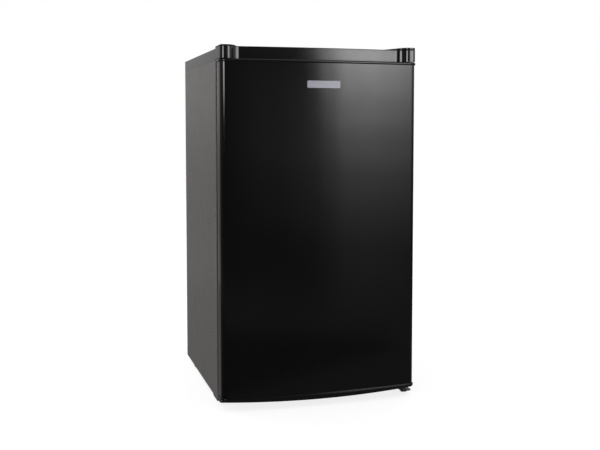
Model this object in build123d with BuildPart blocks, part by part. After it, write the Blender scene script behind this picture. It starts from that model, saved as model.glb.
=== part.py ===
from build123d import *

import os

os.makedirs("parts", exist_ok=True)

# A compact free-standing refrigerator. Millimetres, +Z up, the front faces -Y, and the door hinges are
# at +X. The origin is on the floor, at the middle of the width and of the whole depth.

# ---- Driving dimensions ------------------------------------------------------------------------------
WIDTH = 480.0                # cabinet, across the side panels
CABINET_DEPTH = 443.0        # front flange to the back of the side panels
FASCIA_Z = 848.5             # top of the worktop's moulded front
SIDE_TOP_Z = 846.0           # top of the worktop along the sides
COVER_TOP_Z = 854.0          # top of the cover over the upper hinge
SPARE_TOP_Z = 851.0          # top of the cover on the other corner block
SHELL_Z = 14.0               # lower edge of the side panels
SHELL_TOP_Z = 817.5          # top of the steel wrapper, under the worktop
STEEL = 1.0                  # sheet thickness of the wrapper

GASKET_GAP = 19.5            # cabinet front to the back of the door
DOOR_EDGE = 58.8             # cabinet front to the door's front, at the door's sides
DOOR_BOW = 14.4              # how far the door's middle stands out in front of its sides
DOOR_CORNER = 12.0           # radius of the door's long front edges
SKIN_Z = (31.0, 812.0)       # steel door skin, from the lower cap to the upper cap
SKIN = 0.8                   # sheet thickness of the door skin
CAP_LIP = 2.4                # how far the caps stand out from the skin
CAP_TOP_Z = 819.0
CAP_BOTTOM_Z = 17.0
BACK_OUT = 28.0              # how far the condenser's spacers stand out behind the cabinet

CAVITY_X = 200.0             # half width of the food compartment
CAVITY_Z = (85.0, 775.0)
CAVITY_BACK = 400.0          # depth of the food compartment behind the cabinet front
STEP_DEPTH = 285.0           # where the compressor step starts
STEP_Z = 262.0               # top of the compressor step
LINER = 1.5                  # wall of the inner liner
BAY_FRONT = 314.0            # front wall of the compressor bay
BAY_TOP_Z = 238.0

PIVOT_X = 222.0              # door hinge line
PIVOT_DEPTH = -38.0
PIN_R = 4.0
PIN_CLEARANCE = 0.06
BODY_GAP = 0.4               # free play between pieces that move past each other

# ---- Derived values ----------------------------------------------------------------------------------
HALF_W = WIDTH / 2
DOOR_OUT = DOOR_EDGE + DOOR_BOW + CAP_LIP
TOTAL_DEPTH = DOOR_OUT + CABINET_DEPTH + BACK_OUT
FRONT_Y = DOOR_OUT - TOTAL_DEPTH / 2          # the plane of the cabinet's front flange


def at(depth):
    """Y of a place a given depth behind the cabinet's front plane; negative depths are in the door."""
    return FRONT_Y + depth


def upright(depth):
    """A sketch plane parallel to the front, X to the right and Y up; extrusions go towards the front."""
    return Plane((0, at(depth), 0), x_dir=(1, 0, 0), z_dir=(0, -1, 0))


def sideways(x):
    """A sketch plane parallel to the sides, X to the back and Y up; extrusions go towards +X."""
    return Plane((x, 0, 0), x_dir=(0, 1, 0), z_dir=(1, 0, 0))


def block(x, depth, z, mode=Mode.ADD):
    """A box in the part being built, from one corner value to the other along each axis."""
    middle = ((x[0] + x[1]) / 2, at((depth[0] + depth[1]) / 2), (z[0] + z[1]) / 2)
    with Locations(middle):
        Box(x[1] - x[0], depth[1] - depth[0], z[1] - z[0], mode=mode)


def rod(x, depth, z, radius, height, mode=Mode.ADD):
    """An upright cylinder in the part being built, standing on z."""
    with Locations((x, at(depth), z)):
        Cylinder(radius, height, align=(Align.CENTER, Align.CENTER, Align.MIN), mode=mode)


def bar_y(x, depth, z, radius, length, mode=Mode.ADD):
    """A cylinder along Y in the part being built, from a depth towards the front."""
    with Locations(Plane((x, at(depth), z), x_dir=(1, 0, 0), z_dir=(0, -1, 0))):
        Cylinder(radius, length, align=(Align.CENTER, Align.CENTER, Align.MIN), mode=mode)


def bar_x(x, depth, z, radius, length, mode=Mode.ADD):
    """A cylinder along +X in the part being built, starting at x."""
    with Locations(Plane((x, at(depth), z), x_dir=(0, 1, 0), z_dir=(1, 0, 0))):
        Cylinder(radius, length, align=(Align.CENTER, Align.CENTER, Align.MIN), mode=mode)


def ring_sketch(depth, half_w, z, band, corner):
    """A rounded rectangular ring in an upright plane: outer half width, z range and band width."""
    height = z[1] - z[0]
    with BuildSketch(upright(depth)) as ring:
        with Locations((0, (z[0] + z[1]) / 2)):
            RectangleRounded(2 * half_w, height, corner)
            RectangleRounded(2 * (half_w - band), height - 2 * band, max(corner - band, 1.0),
                             mode=Mode.SUBTRACT)
    return ring.sketch


def door_plan(z, grow=0.0, rear=GASKET_GAP):
    """The door's plan outline at a height: flat sides, rounded front edges and a bowed front."""
    side = HALF_W + grow
    with BuildSketch(Plane.XY.offset(z)) as plan:
        with BuildLine():
            front = ThreePointArc((-side, at(-DOOR_EDGE - grow)), (0, at(-DOOR_EDGE - DOOR_BOW - grow)),
                                  (side, at(-DOOR_EDGE - grow)))
            Polyline(front @ 1, (side, at(-rear)), (-side, at(-rear)), front @ 0)
        make_face()
        fillet(plan.vertices().group_by(Axis.Y)[0], DOOR_CORNER + grow)
    return plan.sketch


def screws(places, head_r, head_h, shank_r, shank_h):
    """Upright screws, heads up, in the part being built; each place is the underside of the head."""
    for x, depth, z in places:
        rod(x, depth, z, head_r, head_h)
        rod(x, depth, z - shank_h, shank_r, shank_h)
        with Locations((x, at(depth), z + head_h - 0.9)):
            Box(head_r * 1.3, 0.9, 2.0, mode=Mode.SUBTRACT)
            Box(0.9, head_r * 1.3, 2.0, mode=Mode.SUBTRACT)


# ======================================================================================================
# Cabinet
# ======================================================================================================
FLANGE = HALF_W - CAVITY_X - LINER            # width of the front return flanges

with BuildPart() as outer_shell:
    block((-HALF_W, HALF_W), (0, CABINET_DEPTH), (SHELL_Z, SHELL_TOP_Z))
    fillet(outer_shell.edges().filter_by(Axis.Z).group_by(Axis.Y)[0], 1.6)
    block((-HALF_W + STEEL, HALF_W - STEEL), (STEEL, CABINET_DEPTH), (SHELL_Z, SHELL_TOP_Z - STEEL),
          Mode.SUBTRACT)
    block((-HALF_W + FLANGE, HALF_W - FLANGE), (0, STEEL), (SHELL_Z, CAVITY_Z[1] + LINER), Mode.SUBTRACT)
    fillet(outer_shell.edges().filter_by(Axis.X).group_by(Axis.Z)[0].group_by(Axis.Y)[0], 0.4)
outer_shell.part.label = "outer_shell"
export_step(outer_shell.part, "parts/outer_shell.step")

with BuildPart() as back_panel:
    block((-HALF_W + STEEL, HALF_W - STEEL), (CABINET_DEPTH - STEEL, CABINET_DEPTH),
          (BAY_TOP_Z, SHELL_TOP_Z - STEEL))
back_panel.part.label = "back_panel"
export_step(back_panel.part, "parts/back_panel.step")

FOAM_Z = (30.0, SHELL_TOP_Z - STEEL)


def liner_section(x, grow):
    """The food compartment's side profile: a rectangle with the compressor step cut from it."""
    floor, roof, rear = at(0) - 1.0, CAVITY_Z[1] + grow, at(CAVITY_BACK + grow)
    with BuildSketch(sideways(x)) as section:
        with BuildLine():
            Polyline((floor, CAVITY_Z[0] - grow), (at(STEP_DEPTH + grow), CAVITY_Z[0] - grow),
                     (at(STEP_DEPTH + grow), STEP_Z - grow), (rear, STEP_Z - grow), (rear, roof),
                     (floor, roof), close=True)
        make_face()
    return section.sketch


with BuildPart() as insulation_foam:
    block((-HALF_W + STEEL, HALF_W - STEEL), (STEEL, CABINET_DEPTH - STEEL), FOAM_Z)
    extrude(liner_section(-CAVITY_X - LINER, LINER), 2 * (CAVITY_X + LINER), mode=Mode.SUBTRACT)
    block((-HALF_W, HALF_W), (BAY_FRONT, CABINET_DEPTH), (0, BAY_TOP_Z), Mode.SUBTRACT)
insulation_foam.part.label = "insulation_foam"
export_step(insulation_foam.part, "parts/insulation_foam.step")

LEDGE = 8.0                                   # how far the shelf ledges stand out from the side walls
LEDGE_FROM = 95.0
SHELF_Z = {"upper": 505.0, "lower": 382.0}    # underside of each glass shelf
COVER_Z = 266.0                               # underside of the glass over the crisper
TRAY_Z = (622.0, 645.0)                       # drip tray under the ice box

with BuildPart() as inner_liner:
    extrude(liner_section(-CAVITY_X - LINER, LINER), 2 * (CAVITY_X + LINER))
    fillet(inner_liner.edges().filter_by(Axis.X).group_by(Axis.Y)[-1], 6.0)
    extrude(liner_section(-CAVITY_X, 0), 2 * CAVITY_X, mode=Mode.SUBTRACT)
    block((-HALF_W, HALF_W), (-5.0, 0), (0, FASCIA_Z), Mode.SUBTRACT)
    for side in (-1, 1):
        wall = sorted((side * CAVITY_X, side * (CAVITY_X - LEDGE)))
        for ledge_z in (SHELF_Z["upper"], SHELF_Z["lower"], COVER_Z, TRAY_Z[0] + 14.0):
            block(wall, (LEDGE_FROM, CAVITY_BACK), (ledge_z - 5.0, ledge_z - BODY_GAP))
            if ledge_z in SHELF_Z.values():
                block(wall, (LEDGE_FROM + 12.0, CAVITY_BACK), (ledge_z + 5.0, ledge_z + 9.0))
inner_liner.part.label = "inner_liner"
export_step(inner_liner.part, "parts/inner_liner.step")

with BuildPart() as base_plate:
    block((-HALF_W + STEEL, HALF_W - STEEL), (STEEL, BAY_FRONT), (FOAM_Z[0] - STEEL, FOAM_Z[0]))
    block((-HALF_W + STEEL, HALF_W - STEEL), (BAY_FRONT, BAY_FRONT + STEEL), (FOAM_Z[0] - STEEL, BAY_TOP_Z))
    block((-HALF_W + STEEL, HALF_W - STEEL), (BAY_FRONT, CABINET_DEPTH - STEEL),
          (BAY_TOP_Z - STEEL, BAY_TOP_Z))
base_plate.part.label = "base_plate"
export_step(base_plate.part, "parts/base_plate.step")

with BuildPart() as front_rail:
    block((-HALF_W + STEEL, HALF_W - STEEL), (STEEL, 26.0), (SHELL_Z + 2.0, FOAM_Z[0] - STEEL))
    block((-HALF_W, HALF_W), (STEEL * 3, 26.0), (0, FOAM_Z[0] - STEEL * 3), Mode.SUBTRACT)
    block((-HALF_W + FLANGE, HALF_W - FLANGE), (0, STEEL), (SHELL_Z + 2.0, CAVITY_Z[0] - LINER))
front_rail.part.label = "front_rail"
export_step(front_rail.part, "parts/front_rail.step")

# ---- Worktop: a moulded frame with a recess between two corner blocks, and a board let into it --------
BLOCK_FRONT = -61.7          # the corner blocks reach over the door
BLOCK_FACE = 16.2            # flat front width of a corner block
RECESS_HALF = 193.5          # half width of the bowed fascia between the blocks
FASCIA_DEPTH = -48.0
FASCIA_BOW = 9.0
SHOULDER = ((214.5, -48.3), (208.5, -61.4))   # poles of the S-shaped curve from the fascia to a block
BLOCK_CORNER = 9.0
BLOCK_Z = CAP_TOP_Z + 1.2
FRONT_EDGE_R = 1.4
HINGE_COVER_X = 162.0        # where the hinge cover starts to rise
SPARE_COVER_X = 200.0        # where the opposite cover starts to rise
COVER_FULL_X = 206.0         # where both have their full height
BOARD_X = 222.0
BOARD_DEPTH = (44.0, 428.0)
BOARD_Z = (SHELL_TOP_Z + 0.2, 846.8)


def worktop_front(z):
    """Plan of the worktop's moulded front: corner blocks, S-shaped shoulders and the bowed fascia."""
    face_x = HALF_W - BLOCK_FACE
    inner, outer = ((x, at(depth)) for x, depth in SHOULDER)
    with BuildSketch(Plane.XY.offset(z)) as plan:
        with BuildLine():
            fascia = ThreePointArc((-RECESS_HALF, at(FASCIA_DEPTH)), (0, at(FASCIA_DEPTH - FASCIA_BOW)),
                                   (RECESS_HALF, at(FASCIA_DEPTH)))
            right = Bezier(fascia @ 1, inner, outer, (face_x, at(BLOCK_FRONT)))
            left = Bezier((-face_x, at(BLOCK_FRONT)), (-outer[0], outer[1]), (-inner[0], inner[1]),
                          fascia @ 0)
            Polyline(right @ 1, (HALF_W, at(BLOCK_FRONT)), (HALF_W, at(0)), (-HALF_W, at(0)),
                     (-HALF_W, at(BLOCK_FRONT)), left @ 0)
        make_face()
        for corner in (0, -1):
            fillet(plan.vertices().group_by(Axis.Y)[0].group_by(Axis.X)[corner], BLOCK_CORNER)
    return plan.sketch


with BuildPart() as worktop_frame:
    block((-HALF_W, HALF_W), (-1.0, CABINET_DEPTH), (BLOCK_Z, SIDE_TOP_Z))
    side_edges = worktop_frame.edges().group_by(Axis.Z)[-1].filter_by(Axis.Y)
    chamfer(side_edges, 1.0)
    extrude(worktop_front(BLOCK_Z), FASCIA_Z - BLOCK_Z)
    front_edges = worktop_frame.edges().group_by(Axis.Z)[-1]
    fillet(front_edges.filter_by(lambda edge: edge.center().Y < at(-1.0)), FRONT_EDGE_R)
    block((-HALF_W, HALF_W), (0.0, CABINET_DEPTH), (SHELL_TOP_Z + 0.1, BLOCK_Z + 1.0))
    block((-BOARD_X - 0.2, BOARD_X + 0.2), (BOARD_DEPTH[0] - 0.2, BOARD_DEPTH[1] + 0.2),
          (BOARD_Z[0] - 0.1, FASCIA_Z), Mode.SUBTRACT)
    block((184.0, 234.0), (-44.0, 30.0), (BLOCK_Z - 3.0, BLOCK_Z + 6.0), Mode.SUBTRACT)
worktop_frame.part.label = "worktop_frame"
export_step(worktop_frame.part, "parts/worktop_frame.step")

with BuildPart() as worktop_board:
    block((-BOARD_X, BOARD_X), BOARD_DEPTH, BOARD_Z)
    fillet(worktop_board.edges().filter_by(Axis.Z), 4.0)
    chamfer(worktop_board.faces().sort_by(Axis.Z)[-1].edges(), 0.6)
worktop_board.part.label = "worktop_board"
export_step(worktop_board.part, "parts/worktop_board.step")

# ---- Upper hinge: a plate under the right corner block, with its pin reaching down into the door -------
PLATE_Z = (BLOCK_Z + 0.6, BLOCK_Z + 3.0)
HINGE_SCREWS = ((200.0, 8.0, PLATE_Z[1]), (226.0, 20.0, PLATE_Z[1]), (200.0, 20.0, PLATE_Z[1]))

with BuildPart() as top_hinge_bracket:
    block((190.0, 233.0), (-44.0, 26.0), PLATE_Z)
    fillet(top_hinge_bracket.edges().filter_by(Axis.Z), 5.0)
    rod(PIVOT_X, PIVOT_DEPTH, CAP_TOP_Z - 20.0, PIN_R, PLATE_Z[1] - CAP_TOP_Z + 20.0)
    chamfer(top_hinge_bracket.faces().sort_by(Axis.Z)[0].edges(), 0.8)
    for x, depth, z in HINGE_SCREWS:
        rod(x, depth, z - 10.0, 2.6, 14.0, Mode.SUBTRACT)
top_hinge_bracket.part.label = "top_hinge_bracket"
export_step(top_hinge_bracket.part, "parts/top_hinge_bracket.step")

with BuildPart() as top_hinge_screws:
    screws(HINGE_SCREWS, 4.4, 2.6, 2.4, 2.5)
top_hinge_screws.part.label = "top_hinge_screws"
export_step(top_hinge_screws.part, "parts/top_hinge_screws.step")


def corner_cover(side, start_x, top):
    """A low cap on a corner block, with a ramp up to it from the fascia's side."""
    outer = side * (HALF_W + 1.0)
    with BuildPart() as cover:
        extrude(worktop_front(FASCIA_Z), top - FASCIA_Z)
        with BuildSketch(upright(0)) as view:
            with BuildLine():
                Polyline((side * start_x, FASCIA_Z), (side * COVER_FULL_X, top), (outer, top),
                         (outer, FASCIA_Z), close=True)
            make_face()
        extrude(amount=1.0 - BLOCK_FRONT, mode=Mode.INTERSECT)
        rim = cover.edges().group_by(Axis.Z)[-1]
        fillet(rim.filter_by(lambda edge: abs(edge.center().X) > COVER_FULL_X + 1.0
                             and edge.center().Y < at(-1.0)), 0.8)
    return cover


hinge_cover = corner_cover(1, HINGE_COVER_X, COVER_TOP_Z)
hinge_cover.part.label = "hinge_cover"
export_step(hinge_cover.part, "parts/hinge_cover.step")

spare_cover = corner_cover(-1, SPARE_COVER_X, SPARE_TOP_Z)
spare_cover.part.label = "spare_cover"
export_step(spare_cover.part, "parts/spare_cover.step")

# ---- Lower hinge: a folded plate under the cabinet's corner, with the pin that carries the door --------
LOWER_PLATE_Z = (9.5, 12.5)
FOOT_RIGHT = (232.0, -17.0)
FOOT_LEFT = (-222.0, 22.0)
LOWER_SCREWS = ((196.0, 40.0, LOWER_PLATE_Z[0]), (222.0, 40.0, LOWER_PLATE_Z[0]))

with BuildPart() as bottom_hinge_bracket:
    block((186.0, HALF_W), (0.0, 56.0), LOWER_PLATE_Z)
    block((214.0, HALF_W), (-47.0, 1.0), LOWER_PLATE_Z)
    fillet(bottom_hinge_bracket.edges().filter_by(Axis.Z), 5.0)
    block((186.0, HALF_W - 1.5), (1.0 + STEEL, 4.5), (LOWER_PLATE_Z[0], 15.9))
    rod(PIVOT_X, PIVOT_DEPTH, LOWER_PLATE_Z[0], 7.0, 5.5)
    rod(PIVOT_X, PIVOT_DEPTH, LOWER_PLATE_Z[0], PIN_R, 36.0)
    chamfer(bottom_hinge_bracket.faces().sort_by(Axis.Z)[-1].edges(), 1.0)
    rod(FOOT_RIGHT[0], FOOT_RIGHT[1], 0, 4.06, 30.0, Mode.SUBTRACT)
    for x, depth, z in LOWER_SCREWS:
        rod(x, depth, z - 5.0, 2.6, 14.0, Mode.SUBTRACT)
bottom_hinge_bracket.part.label = "bottom_hinge_bracket"
export_step(bottom_hinge_bracket.part, "parts/bottom_hinge_bracket.step")

with BuildPart() as bottom_hinge_screws:
    for x, depth, z in LOWER_SCREWS:
        with Locations((x, at(depth), z - 2.4)):
            Cylinder(5.0, 2.4, align=(Align.CENTER, Align.CENTER, Align.MIN))
            Cylinder(2.4, 18.0, align=(Align.CENTER, Align.CENTER, Align.MIN))
bottom_hinge_screws.part.label = "bottom_hinge_screws"
export_step(bottom_hinge_screws.part, "parts/bottom_hinge_screws.step")

with BuildPart() as left_foot_bracket:
    block((-240.0 + STEEL, -196.0), (2.0 + STEEL, 56.0), LOWER_PLATE_Z)
    block((-240.0 + STEEL, -196.0), (2.0 + STEEL, 5.0), (LOWER_PLATE_Z[0], 15.9))
    rod(FOOT_LEFT[0], FOOT_LEFT[1], 0, 4.06, 30.0, Mode.SUBTRACT)
left_foot_bracket.part.label = "left_foot_bracket"
export_step(left_foot_bracket.part, "parts/left_foot_bracket.step")


def levelling_foot(place, stud_top):
    """A screw-in foot: a knurled flange on the floor and a smooth stud up through its bracket."""
    with BuildPart() as foot:
        rod(place[0], place[1], 0, 8.4, 7.0)
        chamfer(foot.edges().filter_by(GeomType.CIRCLE), 0.7)
        with Locations(Location((place[0], at(place[1]), 3.5))):
            with PolarLocations(8.6, 24):
                Cylinder(0.55, 7.4, mode=Mode.SUBTRACT)
        rod(place[0], place[1], 7.0, 4.0, stud_top - 7.0)
        chamfer(foot.faces().sort_by(Axis.Z)[-1].edges(), 0.7)
    return foot


foot_right = levelling_foot(FOOT_RIGHT, 18.5)
foot_right.part.label = "foot_right"
export_step(foot_right.part, "parts/foot_right.step")

foot_left = levelling_foot(FOOT_LEFT, 26.0)
foot_left.part.label = "foot_left"
export_step(foot_left.part, "parts/foot_left.step")

with BuildPart() as rear_feet:
    for side in (-1, 1):
        foot_x = sorted((side * 234.0, side * 217.0))
        block(foot_x, (342.0, 362.0), (3.0, 22.0 - 0.1))
        bar_x(foot_x[0] + 2.0, 352.0, 9.0, 9.0, 13.0)
rear_feet.part.label = "rear_feet"
export_step(rear_feet.part, "parts/rear_feet.step")

# ======================================================================================================
# Door
# ======================================================================================================
POCKET_HALF = 130.0          # finger pocket behind the upper cap's lip
POCKET_LIP = 4.0
POCKET_REAR = -40.0
POCKET_FLOOR = 787.0
DYKE_HALF = 192.0            # raised ring of the door liner that reaches into the cabinet
DYKE_Z = (93.0, 767.0)
DYKE_BAND = 20.0
DYKE_DEPTH = 18.0
BUSH_R = 7.0
LINER_FLAT = GASKET_GAP + 2.4                 # front face of the door liner's flat sheet


def finger_pocket(inset, z):
    """The pocket's volume between two heights: its front follows the door's bow."""
    with BuildPart() as hollow:
        extrude(door_plan(z[0], -POCKET_LIP - inset), z[1] - z[0])
        block((-POCKET_HALF + inset, POCKET_HALF - inset), (-90.0, POCKET_REAR - inset), z, Mode.INTERSECT)
    return hollow.part


with BuildPart() as door_skin:
    extrude(door_plan(SKIN_Z[0]), SKIN_Z[1] - SKIN_Z[0])
    extrude(door_plan(SKIN_Z[0], -SKIN, GASKET_GAP + SKIN), SKIN_Z[1] - SKIN_Z[0], mode=Mode.SUBTRACT)
    block((-HALF_W + 16.0, HALF_W - 16.0), (-GASKET_GAP - SKIN, -GASKET_GAP), SKIN_Z, Mode.SUBTRACT)
door_skin.part.label = "door_skin"
export_step(door_skin.part, "parts/door_skin.step")

FOAM_TOP = SKIN_Z[1] - 0.1

with BuildPart() as door_foam:
    extrude(door_plan(SKIN_Z[0] + 0.1, -SKIN - 0.1, LINER_FLAT), FOAM_TOP - SKIN_Z[0] - 0.1)
    extrude(ring_sketch(-LINER_FLAT, DYKE_HALF - LINER, (DYKE_Z[0] + LINER, DYKE_Z[1] - LINER),
                        DYKE_BAND - 2 * LINER, 12.0), -(LINER_FLAT + DYKE_DEPTH - LINER))
    add(finger_pocket(-0.1, (POCKET_FLOOR - 0.1, SKIN_Z[1])), mode=Mode.SUBTRACT)
    for z in (SKIN_Z[0] - 5.0, SKIN_Z[1] - 31.0):
        rod(PIVOT_X, PIVOT_DEPTH, z, BUSH_R + 0.1, 36.0, Mode.SUBTRACT)
door_foam.part.label = "door_foam"
export_step(door_foam.part, "parts/door_foam.step")

LUG_Z = {"upper": 500.0, "middle": 318.0}     # floors of the door bins, each on a pair of lugs
BOTTLE_Z = DYKE_Z[0] + DYKE_BAND + BODY_GAP   # the bottle rack stands on the ring itself

with BuildPart() as door_liner:
    block((-HALF_W + SKIN, HALF_W - SKIN), (-LINER_FLAT, -GASKET_GAP - SKIN), SKIN_Z)
    extrude(ring_sketch(-LINER_FLAT, DYKE_HALF, DYKE_Z, DYKE_BAND, 13.0),
            -(LINER_FLAT + DYKE_DEPTH))
    fillet(door_liner.faces().sort_by(Axis.Y)[-1].edges(), 4.0)
    extrude(ring_sketch(-LINER_FLAT, DYKE_HALF - LINER, (DYKE_Z[0] + LINER, DYKE_Z[1] - LINER),
                        DYKE_BAND - 2 * LINER, 12.0), -(LINER_FLAT + DYKE_DEPTH - LINER), mode=Mode.SUBTRACT)
    for side in (-1, 1):
        inner = sorted((side * (DYKE_HALF - DYKE_BAND), side * (DYKE_HALF - DYKE_BAND - 6.0)))
        for lug_z in LUG_Z.values():
            block(inner, (-10.0, 14.0), (lug_z - 8.0, lug_z - BODY_GAP))
door_liner.part.label = "door_liner"
export_step(door_liner.part, "parts/door_liner.step")

GASKET_HALF = PIVOT_X - 1.0
GASKET_Z = (62.0, 799.0)

with BuildPart() as door_gasket:
    extrude(ring_sketch(-GASKET_GAP, GASKET_HALF - 5.0, (GASKET_Z[0] + 5.0, GASKET_Z[1] - 5.0), 12.0, 9.0),
            -6.0)
    extrude(ring_sketch(-GASKET_GAP + 6.0, GASKET_HALF, GASKET_Z, 19.0, 12.0), -(GASKET_GAP - 6.0 - 0.4))
    fillet(door_gasket.faces().sort_by(Axis.Y)[-1].edges(), 2.0)
    extrude(ring_sketch(-GASKET_GAP + 8.5, GASKET_HALF - 4.0, (GASKET_Z[0] + 4.0, GASKET_Z[1] - 4.0), 11.0,
                        8.0), -7.0, mode=Mode.SUBTRACT)
door_gasket.part.label = "door_gasket"
export_step(door_gasket.part, "parts/door_gasket.step")

with BuildPart() as door_top_cap:
    extrude(door_plan(SKIN_Z[1], CAP_LIP), CAP_TOP_Z - SKIN_Z[1])
    fillet(door_top_cap.faces().sort_by(Axis.Z)[-1].edges(), 3.4)
    fillet(door_top_cap.faces().sort_by(Axis.Z)[0].edges(), 2.2)
    add(finger_pocket(0.0, (POCKET_FLOOR, SKIN_Z[1])))
    add(finger_pocket(LINER, (POCKET_FLOOR + LINER, CAP_TOP_Z)), mode=Mode.SUBTRACT)
    rod(PIVOT_X, PIVOT_DEPTH, SKIN_Z[1] - 1.0, BUSH_R + 0.05, 12.0, Mode.SUBTRACT)
door_top_cap.part.label = "door_top_cap"
export_step(door_top_cap.part, "parts/door_top_cap.step")

CAP_BELLY = 7.0              # how much lower the bottom cap's edge hangs in the middle than at its ends

with BuildPart() as door_bottom_cap:
    extrude(door_plan(CAP_BOTTOM_Z, CAP_LIP), SKIN_Z[0] - CAP_BOTTOM_Z)
    fillet(door_bottom_cap.faces().sort_by(Axis.Z)[-1].edges(), 1.0)
    with BuildSketch(upright(0)) as belly:
        with BuildLine():
            lower = ThreePointArc((-HALF_W - 10.0, CAP_BOTTOM_Z + CAP_BELLY), (0, CAP_BOTTOM_Z),
                                  (HALF_W + 10.0, CAP_BOTTOM_Z + CAP_BELLY))
            Polyline(lower @ 1, (HALF_W + 10.0, CAP_BOTTOM_Z - 5.0), (-HALF_W - 10.0, CAP_BOTTOM_Z - 5.0),
                     lower @ 0)
        make_face()
    extrude(amount=120.0, mode=Mode.SUBTRACT)
    rod(PIVOT_X, PIVOT_DEPTH, 0, BUSH_R + 0.05, 60.0, Mode.SUBTRACT)
door_bottom_cap.part.label = "door_bottom_cap"
export_step(door_bottom_cap.part, "parts/door_bottom_cap.step")

with BuildPart() as hinge_bushes:
    rod(PIVOT_X, PIVOT_DEPTH, CAP_TOP_Z - 24.0, BUSH_R, 23.6)
    rod(PIVOT_X, PIVOT_DEPTH, 24.0, BUSH_R, 24.5)
    rod(PIVOT_X, PIVOT_DEPTH, CAP_TOP_Z - 22.0, PIN_R + PIN_CLEARANCE, 30.0, Mode.SUBTRACT)
    rod(PIVOT_X, PIVOT_DEPTH, 10.0, PIN_R + PIN_CLEARANCE, 37.0, Mode.SUBTRACT)
hinge_bushes.part.label = "hinge_bushes"
export_step(hinge_bushes.part, "parts/hinge_bushes.step")

BADGE_SIZE = (80.4, 16.8)
BADGE_X = 2.0
BADGE_Z = 762.5

with BuildPart() as badge:
    with BuildSketch(upright(0)) as plate:
        with Locations((BADGE_X, BADGE_Z)):
            RectangleRounded(*BADGE_SIZE, 1.6)
    extrude(amount=DOOR_EDGE + DOOR_BOW + CAP_LIP)
    extrude(door_plan(BADGE_Z - 20.0, 0.05, -10.0), 40.0, mode=Mode.SUBTRACT)
    extrude(door_plan(BADGE_Z - 20.0, 1.5, -10.0), 40.0, mode=Mode.INTERSECT)
badge.part.label = "badge"
export_step(badge.part, "parts/badge.step")


def door_bin(z, height, front_depth):
    """An open-topped bin between the liner's ridges, with a thicker rim and rounded corners."""
    half = DYKE_HALF - DYKE_BAND - 1.5
    depths = (-16.0, front_depth)
    with BuildPart() as tray:
        block((-half, half), depths, (z, z + height))
        fillet(tray.edges().filter_by(Axis.Z).group_by(Axis.Y)[-1], 14.0)
        offset(amount=-2.2, openings=tray.faces().sort_by(Axis.Z)[-1])
        fillet(tray.faces().sort_by(Axis.Z)[0].outer_wire().edges(), 2.0)
    return tray


door_bin_upper = door_bin(LUG_Z["upper"], 58.0, 56.0)
door_bin_upper.part.label = "door_bin_upper"
export_step(door_bin_upper.part, "parts/door_bin_upper.step")

door_bin_middle = door_bin(LUG_Z["middle"], 58.0, 56.0)
door_bin_middle.part.label = "door_bin_middle"
export_step(door_bin_middle.part, "parts/door_bin_middle.step")

bottle_rack = door_bin(BOTTLE_Z, 86.0, 62.0)
bottle_rack.part.label = "bottle_rack"
export_step(bottle_rack.part, "parts/bottle_rack.step")

# ======================================================================================================
# Inside
# ======================================================================================================
SHELF_HALF = CAVITY_X - 2.0
GLASS = 4.0
SHELF_FRONT = 92.0
SHELF_BACK = 396.0


def glass_shelf(z, front):
    """A flat toughened glass pane with softened edges."""
    with BuildPart() as pane:
        block((-SHELF_HALF, SHELF_HALF), (front + 3.0, SHELF_BACK), (z, z + GLASS))
        chamfer(pane.edges().filter_by(Axis.X), 0.5)
    return pane


def shelf_trim(z, front):
    """A slotted strip that clips over the pane's front edge."""
    with BuildPart() as trim:
        block((-SHELF_HALF, SHELF_HALF), (front - 4.0, front + 9.0), (z - 2.5, z + GLASS + 2.5))
        fillet(trim.edges().filter_by(Axis.X).group_by(Axis.Y)[0], 3.0)
        block((-SHELF_HALF, SHELF_HALF), (front + 2.95, front + 12.0), (z - 0.05, z + GLASS + 0.05),
              Mode.SUBTRACT)
        for side in (-1, 1):
            ends = sorted((side * (SHELF_HALF - LEDGE), side * SHELF_HALF))
            block(ends, (front + 1.0, front + 12.0), (z - 5.0, z), Mode.SUBTRACT)
    return trim


shelf_upper_glass = glass_shelf(SHELF_Z["upper"], SHELF_FRONT)
shelf_upper_glass.part.label = "shelf_upper_glass"
export_step(shelf_upper_glass.part, "parts/shelf_upper_glass.step")

shelf_upper_trim = shelf_trim(SHELF_Z["upper"], SHELF_FRONT)
shelf_upper_trim.part.label = "shelf_upper_trim"
export_step(shelf_upper_trim.part, "parts/shelf_upper_trim.step")

shelf_lower_glass = glass_shelf(SHELF_Z["lower"], SHELF_FRONT)
shelf_lower_glass.part.label = "shelf_lower_glass"
export_step(shelf_lower_glass.part, "parts/shelf_lower_glass.step")

shelf_lower_trim = shelf_trim(SHELF_Z["lower"], SHELF_FRONT)
shelf_lower_trim.part.label = "shelf_lower_trim"
export_step(shelf_lower_trim.part, "parts/shelf_lower_trim.step")

crisper_cover_glass = glass_shelf(COVER_Z, SHELF_FRONT)
crisper_cover_glass.part.label = "crisper_cover_glass"
export_step(crisper_cover_glass.part, "parts/crisper_cover_glass.step")

crisper_cover_trim = shelf_trim(COVER_Z, SHELF_FRONT)
crisper_cover_trim.part.label = "crisper_cover_trim"
export_step(crisper_cover_trim.part, "parts/crisper_cover_trim.step")

CRISPER_Z = (CAVITY_Z[0] + BODY_GAP, 252.0)
CRISPER_DEPTH = (96.0, 280.0)

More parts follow.
